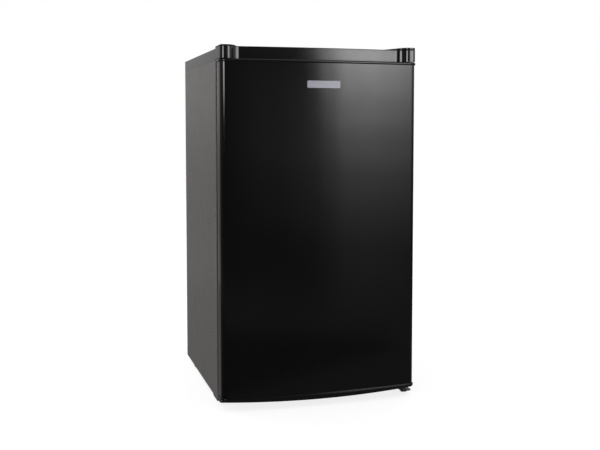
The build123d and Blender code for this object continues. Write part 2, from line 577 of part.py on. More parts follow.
with BuildPart() as crisper_drawer:
    block((-190.0, 190.0), CRISPER_DEPTH, CRISPER_Z)
    fillet(crisper_drawer.edges().filter_by(Axis.Z), 12.0)
    offset(amount=-2.5, openings=crisper_drawer.faces().sort_by(Axis.Z)[-1])
    block((-70.0, 70.0), (CRISPER_DEPTH[0] - 9.0, CRISPER_DEPTH[0] + 0.5), (208.0, 226.0))
    fillet(crisper_drawer.edges().filter_by(Axis.X).group_by(Axis.Y)[0], 3.0)
crisper_drawer.part.label = "crisper_drawer"
export_step(crisper_drawer.part, "parts/crisper_drawer.step")

# ---- Ice box -------------------------------------------------------------------------------------------
BOX_HALF = 186.0
BOX_DEPTH = (152.0, 392.0)
BOX_Z = (652.0, 768.0)
ALU = 1.6
FLAP_DEPTH = 146.0
FLAP_PIVOT_Z = 759.5
FLAP_PIN_R = 2.5

with BuildPart() as evaporator_box:
    block((-BOX_HALF, BOX_HALF), BOX_DEPTH, BOX_Z)
    fillet(evaporator_box.edges().filter_by(Axis.Y), 12.0)
    offset(amount=-ALU, openings=evaporator_box.faces().sort_by(Axis.Y)[0])
evaporator_box.part.label = "evaporator_box"
export_step(evaporator_box.part, "parts/evaporator_box.step")

with BuildPart() as evaporator_screws:
    for x in (-150.0, 150.0):
        for depth in (190.0, 350.0):
            rod(x, depth, BOX_Z[1], 5.0, CAVITY_Z[1] - BOX_Z[1])
evaporator_screws.part.label = "evaporator_screws"
export_step(evaporator_screws.part, "parts/evaporator_screws.step")

with BuildPart() as ice_box_frame:
    extrude(ring_sketch(BOX_DEPTH[0], BOX_HALF + 6.0, (BOX_Z[0] - 3.0, BOX_Z[1] + 4.0), 9.0, 8.0), 12.0)
    for side in (-1, 1):
        bar_x(side * (BOX_HALF - 3.0) - 4.0, FLAP_DEPTH, FLAP_PIVOT_Z, FLAP_PIN_R + PIN_CLEARANCE, 8.0,
              Mode.SUBTRACT)
ice_box_frame.part.label = "ice_box_frame"
export_step(ice_box_frame.part, "parts/ice_box_frame.step")

FLAP_HALF = BOX_HALF - 3.0 - 0.8

with BuildPart() as freezer_flap:
    block((-FLAP_HALF, FLAP_HALF), (FLAP_DEPTH - 2.5, FLAP_DEPTH + 2.5),
          (BOX_Z[0] + 6.6, FLAP_PIVOT_Z))
    bar_x(-FLAP_HALF, FLAP_DEPTH, FLAP_PIVOT_Z, 2.5, 2 * FLAP_HALF)
    block((-FLAP_HALF + 14.0, FLAP_HALF - 14.0), (FLAP_DEPTH + 1.0, FLAP_DEPTH + 2.5),
          (BOX_Z[0] + 20.0, FLAP_PIVOT_Z - 14.0), Mode.SUBTRACT)
    block((-60.0, 60.0), (FLAP_DEPTH - 10.0, FLAP_DEPTH - 2.5), (BOX_Z[0] + 10.0, BOX_Z[0] + 13.0))
    bar_x(-FLAP_HALF - 4.0, FLAP_DEPTH, FLAP_PIVOT_Z, FLAP_PIN_R, 2 * (FLAP_HALF + 4.0))
freezer_flap.part.label = "freezer_flap"
export_step(freezer_flap.part, "parts/freezer_flap.step")

TRAY_DEPTH = (156.0, 388.0)

with BuildPart() as drip_tray:
    block((-178.0, 178.0), TRAY_DEPTH, TRAY_Z)
    fillet(drip_tray.edges().filter_by(Axis.Z), 8.0)
    offset(amount=-2.0, openings=drip_tray.faces().sort_by(Axis.Z)[-1])
    for side in (-1, 1):
        block(sorted((side * 177.0, side * (CAVITY_X - 2.0))), (TRAY_DEPTH[0] + 12.0, TRAY_DEPTH[1] - 12.0),
              (TRAY_Z[0] + 14.0, TRAY_Z[0] + 17.0))
    block((-40.0, 40.0), (TRAY_DEPTH[0] - 12.0, TRAY_DEPTH[0] + 1.0), (TRAY_Z[1] - 8.0, TRAY_Z[1] - 5.0))
drip_tray.part.label = "drip_tray"
export_step(drip_tray.part, "parts/drip_tray.step")

# ---- Thermostat on the right wall ----------------------------------------------------------------------
DIAL = (168.0, 572.0)        # depth and height of the dial's centre
DIAL_R = 17.0
HOUSING_X = 174.0

with BuildPart() as thermostat_housing:
    block((HOUSING_X, CAVITY_X), (DIAL[0] - 34.0, DIAL[0] + 44.0), (DIAL[1] - 27.0, DIAL[1] + 27.0))
    fillet(thermostat_housing.faces().sort_by(Axis.X)[0].edges(), 4.0)
    bar_x(HOUSING_X - 1.0, DIAL[0], DIAL[1], 3.0 + PIN_CLEARANCE, 13.0, Mode.SUBTRACT)
thermostat_housing.part.label = "thermostat_housing"
export_step(thermostat_housing.part, "parts/thermostat_housing.step")

with BuildPart() as thermostat_knob:
    bar_x(HOUSING_X - BODY_GAP - 9.0, DIAL[0], DIAL[1], DIAL_R, 9.0)
    chamfer(thermostat_knob.faces().sort_by(Axis.X)[0].edges(), 1.5)
    block((HOUSING_X - 16.0, HOUSING_X - 8.0), (DIAL[0] - 2.5, DIAL[0] + 2.5),
          (DIAL[1] - DIAL_R + 3.0, DIAL[1] + DIAL_R - 3.0))
    bar_x(HOUSING_X - 1.0, DIAL[0], DIAL[1], 3.0, 11.0)
thermostat_knob.part.label = "thermostat_knob"
export_step(thermostat_knob.part, "parts/thermostat_knob.step")

# ======================================================================================================
# Cooling circuit
# ======================================================================================================
CPLATE_Z = (22.0, 24.0)
COMPRESSOR = (36.0, 380.0)                    # x and depth of the compressor's middle

with BuildPart() as compressor_plate:
    block((-HALF_W + STEEL, HALF_W - STEEL), (BAY_FRONT + STEEL, CABINET_DEPTH), CPLATE_Z)
    block((-HALF_W + STEEL, HALF_W - STEEL), (CABINET_DEPTH - 2.0, CABINET_DEPTH), (CPLATE_Z[0], 34.0))
    block((-HALF_W + STEEL, HALF_W - STEEL), (BAY_FRONT + STEEL, BAY_FRONT + STEEL + 2.0),
          (CPLATE_Z[0], 34.0))
compressor_plate.part.label = "compressor_plate"
export_step(compressor_plate.part, "parts/compressor_plate.step")

LEGS = [(COMPRESSOR[0] + sx * 84.0, COMPRESSOR[1] + sy * 38.0) for sx in (-1, 1) for sy in (-1, 1)]
LEG_Z = 36.0

with BuildPart() as compressor:
    with BuildSketch(Plane((COMPRESSOR[0], at(COMPRESSOR[1]), 44.0))) as can:
        Ellipse(76.0, 55.0)
    extrude(amount=122.0)
    fillet(compressor.faces().sort_by(Axis.Z)[-1].edges(), 34.0)
    fillet(compressor.faces().sort_by(Axis.Z)[0].edges(), 7.0)
    with BuildSketch(Plane((COMPRESSOR[0], at(COMPRESSOR[1]), 100.0))) as seam:
        Ellipse(79.0, 58.0)
    extrude(amount=6.0)
    for sx in (-1, 1):
        block(sorted((COMPRESSOR[0] + sx * 60.0, COMPRESSOR[0] + sx * 96.0)),
              (COMPRESSOR[1] - 48.0, COMPRESSOR[1] + 48.0), (LEG_Z, LEG_Z + 3.0))
        block(sorted((COMPRESSOR[0] + sx * 50.0, COMPRESSOR[0] + sx * 63.0)),
              (COMPRESSOR[1] - 20.0, COMPRESSOR[1] + 20.0), (LEG_Z, 52.0))
    for x, depth in LEGS:
        rod(x, depth, LEG_Z - 1.0, 5.0, 6.0, Mode.SUBTRACT)
compressor.part.label = "compressor"
export_step(compressor.part, "parts/compressor.step")

with BuildPart() as compressor_grommets:
    for x, depth in LEGS:
        rod(x, depth, CPLATE_Z[1], 10.0, LEG_Z - CPLATE_Z[1])
        rod(x, depth, LEG_Z, 4.9, 4.0)
        rod(x, depth, CPLATE_Z[1] - 1.0, 3.1, 20.0, Mode.SUBTRACT)
compressor_grommets.part.label = "compressor_grommets"
export_step(compressor_grommets.part, "parts/compressor_grommets.step")

with BuildPart() as compressor_bolts:
    for x, depth in LEGS:
        rod(x, depth, CPLATE_Z[1], 3.0, 16.0)
        with BuildSketch(Plane((x, at(depth), LEG_Z + 4.0))) as nut:
            RegularPolygon(6.0, 6)
        extrude(amount=4.0)
compressor_bolts.part.label = "compressor_bolts"
export_step(compressor_bolts.part, "parts/compressor_bolts.step")

with BuildPart() as relay_cover:
    block((COMPRESSOR[0] - 112.0, COMPRESSOR[0] - 81.0), (COMPRESSOR[1] - 27.0, COMPRESSOR[1] + 27.0),
          (64.0, 128.0))
    fillet(relay_cover.edges().filter_by(Axis.X), 6.0)
    fillet(relay_cover.faces().sort_by(Axis.X)[0].edges(), 3.0)
relay_cover.part.label = "relay_cover"
export_step(relay_cover.part, "parts/relay_cover.step")

with BuildPart() as cable_gland:
    with BuildSketch(upright(CABINET_DEPTH)) as ring:
        with Locations((-170.0, 60.0)):
            Circle(9.0)
    extrude(amount=3.0)
    with BuildSketch(upright(CABINET_DEPTH - 3.0)) as plate:
        with Locations((-170.0, 60.0)):
            RectangleRounded(34.0, 30.0, 4.0)
    extrude(amount=2.0)
    block((-187.0, -153.0), (CABINET_DEPTH - 5.0, CABINET_DEPTH - 3.0), (34.0, 50.0))
    bar_y(-170.0, CABINET_DEPTH + 1.0, 60.0, 4.5, 12.0, Mode.SUBTRACT)
cable_gland.part.label = "cable_gland"
export_step(cable_gland.part, "parts/cable_gland.step")

with BuildPart() as evaporation_tray:
    block((COMPRESSOR[0] - 58.0, COMPRESSOR[0] + 58.0), (COMPRESSOR[1] - 42.0, COMPRESSOR[1] + 42.0),
          (166.4, 194.0))
    fillet(evaporation_tray.edges().filter_by(Axis.Z), 10.0)
    offset(amount=-1.8, openings=evaporation_tray.faces().sort_by(Axis.Z)[-1])
evaporation_tray.part.label = "evaporation_tray"
export_step(evaporation_tray.part, "parts/evaporation_tray.step")

with BuildPart() as drain_spout:
    rod(COMPRESSOR[0], COMPRESSOR[1] - 10.0, 204.0, 7.0, BAY_TOP_Z - STEEL - 204.0)
    rod(COMPRESSOR[0], COMPRESSOR[1] - 10.0, 200.0, 5.0, 5.0)
    rod(COMPRESSOR[0], COMPRESSOR[1] - 10.0, 195.0, 3.2, 60.0, Mode.SUBTRACT)
drain_spout.part.label = "drain_spout"
export_step(drain_spout.part, "parts/drain_spout.step")

# ---- Condenser: a serpentine tube between two rows of upright wires -------------------------------------
TUBE_R = 2.4
WIRE_R = 0.8
COIL_DEPTH = CABINET_DEPTH + 17.0
COIL_X = 172.0
COIL_Z = 282.0
PASSES = 13
PITCH = 38.0
INLET_X = COMPRESSOR[0] + 128.0               # where the discharge pipe comes up to the coil
INLET_Z = 258.0
RETURN_X = -184.0                             # outlet tube down to the filter drier
DRIER = (-176.0, CABINET_DEPTH - 26.0)
DRIER_Z = (100.0, 176.0)


def tube(path, radius):
    """A round bar along a path of lines and arcs, in the part being built."""
    with BuildSketch(Plane(path @ 0, z_dir=path % 0)) as section:
        Circle(radius)
    sweep(section.sketch, path=path)


def coil_points():
    """Corners of the serpentine from the inlet up, then of the outlet down behind the coil."""
    corners = [(INLET_X, at(COIL_DEPTH), INLET_Z)]
    for i in range(PASSES):
        z = COIL_Z + i * PITCH
        start_x = INLET_X if i == 0 else (COIL_X if i % 2 == 0 else -COIL_X)
        end_x = RETURN_X if i == PASSES - 1 else (-COIL_X if i % 2 == 0 else COIL_X)
        corners += [(start_x, at(COIL_DEPTH), z), (end_x, at(COIL_DEPTH), z)]
    top = COIL_Z + (PASSES - 1) * PITCH
    outlet_y = at(COIL_DEPTH - 9.0)
    corners += [(RETURN_X, outlet_y, top - 42.0), (RETURN_X, outlet_y, BAY_TOP_Z - 10.0),
                (DRIER[0], at(DRIER[1]), DRIER_Z[1] + 26.0), (DRIER[0], at(DRIER[1]), DRIER_Z[1])]
    return corners


with BuildPart() as condenser_tube:
    with BuildLine() as serpentine:
        FilletPolyline(*coil_points(), radius=PITCH / 2 - 1.0)
    tube(serpentine.wires()[0], TUBE_R)
condenser_tube.part.label = "condenser_tube"
export_step(condenser_tube.part, "parts/condenser_tube.step")

WIRE_COUNT = 26
WIRE_Z = (COIL_Z - 12.0, COIL_Z + (PASSES - 1) * PITCH + 12.0)

with BuildPart() as condenser_wires:
    for side in (-1, 1):
        with Locations((0, at(COIL_DEPTH) + side * (TUBE_R + WIRE_R), WIRE_Z[0])):
            with GridLocations(2 * (COIL_X - 26.0) / (WIRE_COUNT - 1), 1, WIRE_COUNT, 1):
                Cylinder(WIRE_R, WIRE_Z[1] - WIRE_Z[0], align=(Align.CENTER, Align.CENTER, Align.MIN))
condenser_wires.part.label = "condenser_wires"
export_step(condenser_wires.part, "parts/condenser_wires.step")

BRACKET_X = 196.0
BRACKET_Z = (COIL_Z + PITCH, COIL_Z + PITCH * (PASSES - 2))

with BuildPart() as condenser_brackets:
    for side in (-1, 1):
        for z in BRACKET_Z:
            bracket_x = sorted((side * (COIL_X - 8.0), side * (BRACKET_X + 8.0)))
            block(bracket_x, (CABINET_DEPTH, CABINET_DEPTH + 2.0), (z - 9.0, z + 9.0))
            block(sorted((side * BRACKET_X, side * (BRACKET_X - 3.0))),
                  (CABINET_DEPTH, CABINET_DEPTH + BACK_OUT), (z - 9.0, z + 9.0))
            block(sorted((side * BRACKET_X, side * (BRACKET_X - 14.0))),
                  (CABINET_DEPTH + BACK_OUT - 3.0, CABINET_DEPTH + BACK_OUT), (z - 9.0, z + 9.0))
            block(sorted((side * (COIL_X + 3.0), side * BRACKET_X)),
                  (COIL_DEPTH - 1.5, COIL_DEPTH + 1.5), (z - 2.0, z + 2.0))
condenser_brackets.part.label = "condenser_brackets"
export_step(condenser_brackets.part, "parts/condenser_brackets.step")

with BuildPart() as condenser_screws:
    for side in (-1, 1):
        for z in BRACKET_Z:
            bar_y(side * (BRACKET_X + 4.0), CABINET_DEPTH + 4.4, z, 3.4, 2.4)
condenser_screws.part.label = "condenser_screws"
export_step(condenser_screws.part, "parts/condenser_screws.step")

with BuildPart() as filter_drier:
    rod(DRIER[0], DRIER[1], DRIER_Z[0], 9.0, DRIER_Z[1] - DRIER_Z[0])
    fillet(filter_drier.edges().filter_by(GeomType.CIRCLE), 6.0)
filter_drier.part.label = "filter_drier"
export_step(filter_drier.part, "parts/filter_drier.step")

PIPE_R = 3.0

with BuildPart() as refrigerant_pipes:
    with BuildLine() as discharge:
        FilletPolyline((COMPRESSOR[0] + 76.3, at(COMPRESSOR[1]), 80.0),
                       (INLET_X, at(COMPRESSOR[1]), 80.0), (INLET_X, at(COIL_DEPTH - 40.0), 212.0),
                       (INLET_X, at(COIL_DEPTH), 226.0), (INLET_X, at(COIL_DEPTH), INLET_Z), radius=9.0)
    tube(discharge.wires()[0], PIPE_R)
    with BuildLine() as suction:
        FilletPolyline((COMPRESSOR[0] + 71.7, at(COMPRESSOR[1] + 22.0), 130.0),
                       (COMPRESSOR[0] + 104.0, at(COMPRESSOR[1] + 22.0), 130.0),
                       (COMPRESSOR[0] + 104.0, at(COMPRESSOR[1] + 22.0), 236.9), radius=12.0)
    tube(suction.wires()[0], PIPE_R)
refrigerant_pipes.part.label = "refrigerant_pipes"
export_step(refrigerant_pipes.part, "parts/refrigerant_pipes.step")
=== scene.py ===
import math

import bmesh
import bpy
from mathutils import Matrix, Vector


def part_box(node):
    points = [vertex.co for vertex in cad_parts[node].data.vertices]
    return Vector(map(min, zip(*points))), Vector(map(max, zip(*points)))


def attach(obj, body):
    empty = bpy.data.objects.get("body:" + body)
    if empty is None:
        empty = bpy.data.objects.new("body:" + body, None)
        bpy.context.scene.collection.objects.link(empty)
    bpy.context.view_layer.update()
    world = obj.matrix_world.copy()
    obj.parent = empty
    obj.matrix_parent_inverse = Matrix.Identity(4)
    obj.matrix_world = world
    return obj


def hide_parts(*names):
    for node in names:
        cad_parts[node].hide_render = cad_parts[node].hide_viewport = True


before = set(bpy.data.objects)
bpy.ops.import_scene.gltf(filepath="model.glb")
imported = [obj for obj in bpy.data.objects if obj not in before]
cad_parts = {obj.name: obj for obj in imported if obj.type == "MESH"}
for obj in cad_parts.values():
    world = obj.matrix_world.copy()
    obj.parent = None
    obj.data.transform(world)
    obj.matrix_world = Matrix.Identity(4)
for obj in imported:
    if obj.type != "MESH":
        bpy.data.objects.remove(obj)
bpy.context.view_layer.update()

MM = 0.001

# ---- Places read from the frame --------------------------------------------------------------------------
SKIN_LO, SKIN_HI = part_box("door_skin")
CAP_LO, CAP_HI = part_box("door_top_cap")
SOLE_LO, SOLE_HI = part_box("door_bottom_cap")
TOP_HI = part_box("worktop_frame")[1]
BOARD_LO, BOARD_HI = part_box("worktop_board")
SHELL_LO, SHELL_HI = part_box("outer_shell")
HALF_W = SHELL_HI.x
FRONT_Y = SHELL_LO.y                       # the cabinet's front plane


def at(depth):
    """Y in metres of a place some millimetres behind the cabinet's front plane."""
    return FRONT_Y + depth * MM


# ---- Door outline: flat sides, rounded front corners, bowed front -----------------------------------------
DOOR_EDGE = 58.8                           # front of the door's sides, ahead of the cabinet, as for at()
DOOR_BOW = 14.4 * MM                       # how much further the middle stands out
DOOR_CORNER = 12.0 * MM
GASKET_GAP = 19.5                          # back of the door, ahead of the cabinet, as for at()
CAP_LIP = CAP_HI.x - SKIN_HI.x             # how far the caps stand out from the sheet


def door_outline(grow, rear, bow_steps=112, corner_steps=12):
    """Plan points of the door from its left rear corner, round the front, to its right rear corner."""
    side = HALF_W + grow
    edge = at(-DOOR_EDGE) - grow
    radius = (side ** 2 + DOOR_BOW ** 2) / (2 * DOOR_BOW)
    centre = edge - DOOR_BOW + radius
    corner = DOOR_CORNER + grow
    cx = side - corner
    cy = centre - math.sqrt((radius - corner) ** 2 - cx ** 2)
    lean = math.atan2(cx, centre - cy)            # where the corner's arc meets the bow
    right = [(side, rear), (side, (rear * 2 + cy) / 3), (side, (rear + cy * 2) / 3)]
    for i in range(corner_steps + 1):
        a = (math.pi / 2 - lean) * i / corner_steps
        right.append((cx + corner * math.cos(a), cy - corner * math.sin(a)))
    bow = []
    for i in range(1, bow_steps):
        a = -lean + 2 * lean * i / bow_steps
        bow.append((radius * math.sin(a), centre - radius * math.cos(a)))
    return [(-x, y) for x, y in right] + bow + right[::-1]


def sin_of(degrees):
    return math.sin(math.radians(degrees))


def cos_of(degrees):
    return math.cos(math.radians(degrees))


# ---- Mesh helpers ------------------------------------------------------------------------------------------
def add_piece(name, verts, faces, body, material, stands_for=(), sharp=35.0, merge=1e-7):
    """A mesh object with outward normals, smooth apart from its sharp edges."""
    mesh = bpy.data.meshes.new(name)
    mesh.from_pydata([tuple(v) for v in verts], [], faces)
    work = bmesh.new()
    work.from_mesh(mesh)
    bmesh.ops.remove_doubles(work, verts=work.verts, dist=merge)
    bmesh.ops.dissolve_degenerate(work, dist=merge, edges=work.edges)
    bmesh.ops.recalc_face_normals(work, faces=work.faces)
    work.to_mesh(mesh)
    work.free()
    for poly in mesh.polygons:
        poly.use_smooth = True
    mesh.set_sharp_from_angle(angle=math.radians(sharp))
    obj = bpy.data.objects.new(name, mesh)
    bpy.context.scene.collection.objects.link(obj)
    mesh.materials.append(material)
    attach(obj, body)
    if stands_for:
        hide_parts(*stands_for)
    return obj


class Build:
    """Vertices and faces of one piece as it grows."""

    def __init__(self):
        self.verts = []
        self.faces = []

    def ring(self, points):
        first = len(self.verts)
        self.verts += [tuple(p) for p in points]
        return list(range(first, first + len(points)))

    def skin(self, rings, closed=True):
        """Quads between each ring and the next; each ring has the same number of points."""
        for a, b in zip(rings, rings[1:]):
            count = len(a)
            for i in range(count if closed else count - 1):
                j = (i + 1) % count
                self.faces.append((a[i], a[j], b[j], b[i]))

    def plate(self, outline, holes=()):
        """A flat face inside an outline and around its holes, all of them rings of this piece."""
        loops = [outline] + list(holes)
        work = bmesh.new()
        edges = []
        lookup = {}
        for loop in loops:
            made = []
            for index in loop:
                vert = work.verts.new(self.verts[index])
                lookup[vert] = index
                made.append(vert)
            for i, vert in enumerate(made):
                edges.append(work.edges.new((vert, made[(i + 1) % len(made)])))
        result = bmesh.ops.triangle_fill(work, use_beauty=True, use_dissolve=False, edges=edges)
        for item in result["geom"]:
            if isinstance(item, bmesh.types.BMFace):
                self.faces.append(tuple(lookup[v] for v in item.verts))
        work.free()


def circle(x, y, z, radius, count=32):
    turns = [2 * math.pi * i / count for i in range(count)]
    return [(x + radius * math.cos(a), y + radius * math.sin(a), z) for a in turns]


# ============================================================================================================
# Materials
# ============================================================================================================
class Finish:
    """A node material: a Principled surface fed by noise for its colour, roughness and bump."""

    def __init__(self, name, **fixed):
        self.material = bpy.data.materials.new(name)
        self.material.use_nodes = True
        self.tree = self.material.node_tree
        self.tree.nodes.clear()
        self.out = self.node("ShaderNodeOutputMaterial")
        self.bsdf = self.node("ShaderNodeBsdfPrincipled")
        self.link(self.bsdf.outputs["BSDF"], self.out.inputs["Surface"])
        self.place = self.node("ShaderNodeTexCoord").outputs["Object"]
        for key, value in fixed.items():
            self.bsdf.inputs[key.replace("_", " ")].default_value = value
        self.normal = None

    def node(self, kind, **settings):
        made = self.tree.nodes.new(kind)
        for key, value in settings.items():
            setattr(made, key, value)
        return made

    def link(self, source, target):
        self.tree.links.new(source, target)

    def stretched(self, stretch):
        if tuple(stretch) == (1, 1, 1):
            return self.place
        mapping = self.node("ShaderNodeMapping")
        mapping.inputs["Scale"].default_value = stretch
        self.link(self.place, mapping.inputs["Vector"])
        return mapping.outputs["Vector"]

    def noise(self, scale, stretch=(1, 1, 1), detail=3.0, rough=0.55):
        made = self.node("ShaderNodeTexNoise")
        made.inputs["Scale"].default_value = scale
        made.inputs["Detail"].default_value = detail
        made.inputs["Roughness"].default_value = rough
        self.link(self.stretched(stretch), made.inputs["Vector"])
        return made.outputs["Fac"]

    def cells(self, scale, stretch=(1, 1, 1), feature="F1", output="Distance"):
        made = self.node("ShaderNodeTexVoronoi", feature=feature)
        made.inputs["Scale"].default_value = scale
        self.link(self.stretched(stretch), made.inputs["Vector"])
        return made.outputs[output]

    def span(self, source, low, high, to_low, to_high):
        made = self.node("ShaderNodeMapRange")
        self.link(source, made.inputs["Value"])
        for key, value in (("From Min", low), ("From Max", high), ("To Min", to_low), ("To Max", to_high)):
            made.inputs[key].default_value = value
        return made.outputs["Result"]

    def blend(self, factor, first, second, kind="MIX"):
        made = self.node("ShaderNodeMix", data_type="RGBA", blend_type=kind)
        if isinstance(factor, (int, float)):
            made.inputs[0].default_value = factor
        else:
            self.link(factor, made.inputs[0])
        for value, socket in ((first, made.inputs[6]), (second, made.inputs[7])):
            if isinstance(value, (tuple, list)):
                socket.default_value = (*value[:3], 1.0)
            else:
                self.link(value, socket)
        return made.outputs[2]

    def colour(self, source):
        self.link(source, self.bsdf.inputs["Base Color"])

    def rough(self, source):
        self.link(source, self.bsdf.inputs["Roughness"])

    def bump(self, height, depth, strength=1.0):
        made = self.node("ShaderNodeBump")
        made.inputs["Strength"].default_value = strength
        made.inputs["Distance"].default_value = depth
        self.link(height, made.inputs["Height"])
        if self.normal is not None:
            self.link(self.normal, made.inputs["Normal"])
        self.normal = made.outputs["Normal"]
        self.link(self.normal, self.bsdf.inputs["Normal"])


def shade(colour, factor):
    return tuple(min(1.0, c * factor) for c in colour)


def finish(name, colour, rough, spread=0.05, tint=(8.0, (1, 1, 1)), rough_spread=0.05, rough_scale=24.0,
           grain=None, speckle=0.0, **fixed):
    """The general surface: broad and fine colour variation, uneven gloss, and grains of bump.

    tint is a scale and a stretch, grain a list of (scale, stretch, depth in metres).
    """
    made = Finish(name, **fixed)
    broad = made.noise(tint[0], tint[1])
    base = made.blend(made.span(broad, 0.3, 0.7, 0.0, 1.0), shade(colour, 1 - spread),
                      shade(colour, 1 + spread))
    if speckle:
        fine = made.noise(tint[0] * 90, (1, 1, 1), detail=2.0)
        base = made.blend(made.span(fine, 0.42, 0.62, 0.0, speckle), base, shade(colour, 1.9))
    made.colour(base)
    made.rough(made.span(made.noise(rough_scale), 0.3, 0.7, rough - rough_spread, rough + rough_spread))
    for scale, stretch, depth in grain or ():
        made.bump(made.noise(scale, stretch, detail=2.0), depth)
    return made


ONE = (1, 1, 1)                            # the same grain in every direction
UPRIGHT = (1, 1, 0.03)                     # grain drawn out into upright streaks

made = {}                                  # material of each slot


def keep(slot, item):
    made[slot] = item.material


# Cabinet sheet: satin paint over steel, with faint upright streaks and an orange-peel texture
keep("side_paint", finish(
    "cabinet_paint", (0.078, 0.072, 0.069), 0.29, spread=0.03, tint=(14.0, UPRIGHT), rough_spread=0.02,
    speckle=0.015, grain=[(900.0, ONE, 0.000006), (4.0, UPRIGHT, 0.0002)], Specular_IOR_Level=0.5))
# Door sheet: deep black gloss enamel with a very shallow orange peel
keep("door_paint", finish(
    "door_enamel", (0.0022, 0.0021, 0.0022), 0.075, spread=0.10, rough_spread=0.012, rough_scale=60.0,
    grain=[(340.0, ONE, 0.0000022), (9.0, (1, 1, 0.5), 0.00022)], Coat_Weight=0.0))
# Glossy moulded plastic of the caps and the worktop frame
keep("black_gloss", finish(
    "black_moulding", (0.0026, 0.0026, 0.0027), 0.10, spread=0.10, rough_spread=0.02, rough_scale=70.0,
    grain=[(420.0, ONE, 0.000004)]))
# Finely grained worktop
keep("worktop_laminate", finish(
    "worktop_laminate", (0.040, 0.039, 0.038), 0.42, spread=0.16, tint=(55.0, ONE), speckle=0.10,
    rough_scale=120.0, grain=[(1500.0, ONE, 0.00006)]))
# Metal and rubber fittings
keep("zinc_steel", finish(
    "zinc_plate", (0.50, 0.50, 0.48), 0.36, spread=0.10, tint=(120.0, ONE), rough_spread=0.10,
    rough_scale=90.0, grain=[(700.0, (1, 6, 1), 0.00005)], Metallic=1.0))
keep("gasket_rubber", finish(
    "gasket_rubber", (0.046, 0.046, 0.047), 0.62, spread=0.10, tint=(40.0, ONE),
    grain=[(1300.0, ONE, 0.00005)]))
keep("black_rubber", finish(
    "mount_rubber", (0.018, 0.018, 0.018), 0.72, spread=0.18, tint=(160.0, ONE),
    grain=[(1100.0, ONE, 0.00012)]))
# Inside: liner, mouldings, bins, shelves and ice box
keep("white_plastic", finish(
    "liner_white", (0.74, 0.76, 0.75), 0.30, spread=0.015, tint=(5.0, ONE), rough_scale=50.0,
    grain=[(420.0, ONE, 0.000008), (7.0, ONE, 0.0002)], Subsurface_Weight=0.05, Subsurface_Scale=0.004))
keep("white_moulding", finish(
    "moulding_white", (0.70, 0.71, 0.71), 0.34, spread=0.02, tint=(20.0, ONE), rough_scale=80.0,
    grain=[(900.0, ONE, 0.000006)], Subsurface_Weight=0.05, Subsurface_Scale=0.003))
keep("clear_plastic", finish(
    "clear_styrene", (0.86, 0.92, 0.94), 0.10, spread=0.02, tint=(18.0, ONE), rough_spread=0.03,
    rough_scale=60.0, grain=[(160.0, ONE, 0.00004)], Transmission_Weight=0.86, IOR=1.45))
keep("shelf_glass", finish(
    "shelf_glass", (0.80, 0.93, 0.88), 0.045, spread=0.02, tint=(4.0, ONE), rough_spread=0.02,
    rough_scale=20.0, grain=[(30.0, ONE, 0.00002)], Transmission_Weight=0.92, IOR=1.5))
keep("evaporator_alu", finish(
    "evaporator_aluminium", (0.72, 0.73, 0.74), 0.34, spread=0.05, tint=(30.0, ONE), rough_scale=40.0,
    grain=[(900.0, (1, 12, 12), 0.00003), (60.0, ONE, 0.0002)], Metallic=1.0))
# Badge
keep("badge_silver", finish(
    "badge_silver", (0.30, 0.30, 0.335), 0.42, spread=0.08, tint=(700.0, (0.04, 1, 1)),
    rough_scale=300.0, grain=[(2600.0, (0.02, 1, 1), 0.00002)], Metallic=1.0))
# Machinery behind the cabinet
keep("compressor_black", finish(
    "compressor_enamel", (0.012, 0.012, 0.013), 0.30, spread=0.25, tint=(30.0, ONE), rough_spread=0.09,
    rough_scale=25.0, speckle=0.03, grain=[(500.0, ONE, 0.00005)]))
keep("condenser_black", finish(
    "condenser_enamel", (0.018, 0.018, 0.019), 0.38, spread=0.3, tint=(24.0, ONE), rough_spread=0.10,
    rough_scale=35.0, speckle=0.05, grain=[(800.0, ONE, 0.00006)]))
keep("copper", finish(
    "copper_tube", (0.66, 0.32, 0.19), 0.30, spread=0.16, tint=(60.0, ONE), rough_spread=0.12,
    rough_scale=45.0, grain=[(600.0, ONE, 0.00004)], Metallic=1.0))
keep("relay_plastic", finish(
    "relay_plastic", (0.03, 0.03, 0.032), 0.55, spread=0.12, tint=(40.0, ONE),
    grain=[(1200.0, ONE, 0.00008)]))

# Galvanised sheet: angular crystals that differ in brightness and gloss
spangle = Finish("galvanised_sheet", Metallic=1.0)
crystal = spangle.cells(95.0, output="Color")
grey = spangle.node("ShaderNodeSeparateColor")
spangle.link(crystal, grey.inputs["Color"])
spangle.colour(spangle.blend(grey.outputs["Red"], (0.44, 0.46, 0.47), (0.58, 0.60, 0.61)))
spangle.rough(spangle.span(grey.outputs["Green"], 0.0, 1.0, 0.30, 0.48))
spangle.bump(grey.outputs["Blue"], 0.00003)
spangle.bump(spangle.noise(40.0), 0.0004)
keep("galvanised", spangle)

# Rigid foam: pale cells, darker where the skin has torn
cellular = Finish("rigid_foam", Roughness=0.9)
tone = cellular.blend(cellular.span(cellular.noise(14.0), 0.3, 0.7, 0.0, 1.0),
                      (0.70, 0.60, 0.36), (0.83, 0.75, 0.50))
cellular.colour(cellular.blend(cellular.span(cellular.cells(650.0), 0.0, 0.5, 0.35, 0.0), tone,
                               (0.52, 0.42, 0.22)))
cellular.bump(cellular.cells(650.0), 0.0004)
keep("foam", cellular)

# Nodes of the frame come in with the slot's name as their material's name
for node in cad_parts.values():
    for holder in node.material_slots:
        if holder.material and holder.material.name in made:
            holder.material = made[holder.material.name]

# ============================================================================================================
# Door
# ============================================================================================================
SHEET = 0.8 * MM                           # thickness of the door's steel
FLANGE = 16 * MM                           # how far the sheet is folded in behind the door
FOLD = 1.4 * MM                            # radius of that fold


